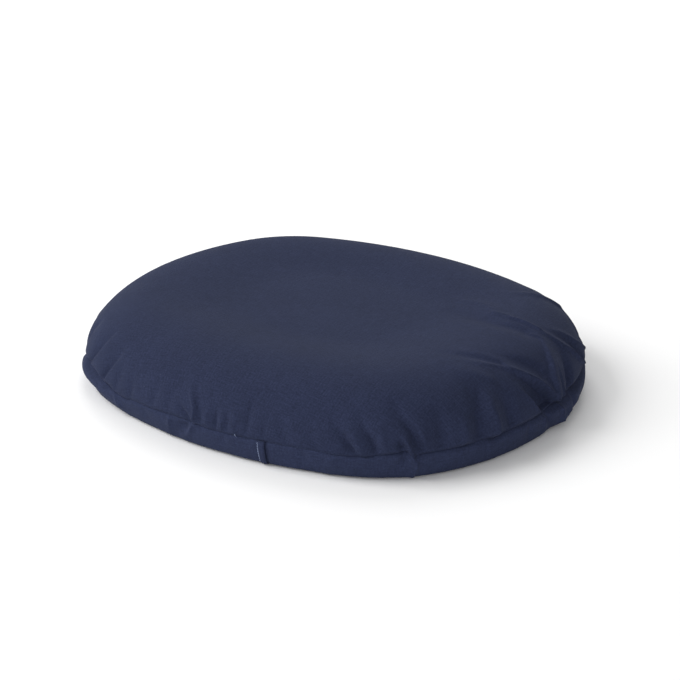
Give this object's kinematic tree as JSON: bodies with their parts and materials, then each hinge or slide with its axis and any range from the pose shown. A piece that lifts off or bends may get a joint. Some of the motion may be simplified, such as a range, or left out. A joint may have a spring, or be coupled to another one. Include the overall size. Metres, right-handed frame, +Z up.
{
  "type": "oval ring seat cushion",
  "caption": "Oval padded ring cushion with a shallow dished top, in a zipped woven cover with a narrow boxing band.",
  "frame": {"origin": "centre of the flat underside, on the surface the cushion lies on", "axes": "+X along the cushion's length, +Y towards the zipped rear side, +Z up"},
  "size_m": [0.457, 0.394, 0.076],
  "materials": {
    "cover_cloth": "matte",
    "foam": "matte",
    "zip_tape": "matte",
    "zip_nylon": "satin",
    "zip_metal": "satin",
    "thread": "satin",
    "label_satin": "satin"
  },
  "bodies": {
    "cushion": {"foam_ring": "foam", "cover_top_panel": "cover_cloth", "cover_bottom_panel": "cover_cloth", "boxing_strip_left": "cover_cloth", "boxing_strip_right": "cover_cloth", "zip_placket_upper": "cover_cloth", "zip_placket_lower": "cover_cloth", "zip_end_tab_left": "cover_cloth", "zip_end_tab_right": "cover_cloth", "zip_tape_upper": "zip_tape", "zip_tape_lower": "zip_tape", "zip_coil_upper": "zip_nylon", "zip_coil_lower": "zip_nylon", "zip_top_stop_upper": "zip_metal", "zip_top_stop_lower": "zip_metal", "zip_bottom_stop": "zip_metal", "zip_stitch_upper": "thread", "zip_stitch_lower": "thread", "top_seam_thread": "thread", "bottom_seam_thread": "thread", "boxing_join_thread": "thread", "care_label": "label_satin"},
    "zip_slider": {"zip_slider_body": "zip_metal"},
    "pull_tab": {"zip_pull_tab": "zip_metal"}
  },
  "joints": [
    {"name": "zip_travel", "type": "hinge", "parent": "cushion", "child": "zip_slider", "pos_m": [0, -0.173, 0], "axis": [0, 0, 1], "range_deg": [-35.3, 0]},
    {"name": "pull_tab_flip", "type": "hinge", "parent": "zip_slider", "child": "pull_tab", "pos_m": [-0.11195, 0.17879, 0.01172], "axis": [-0.0785, 0.2466, 0.9659], "range_deg": [0, 175]}
  ]
}
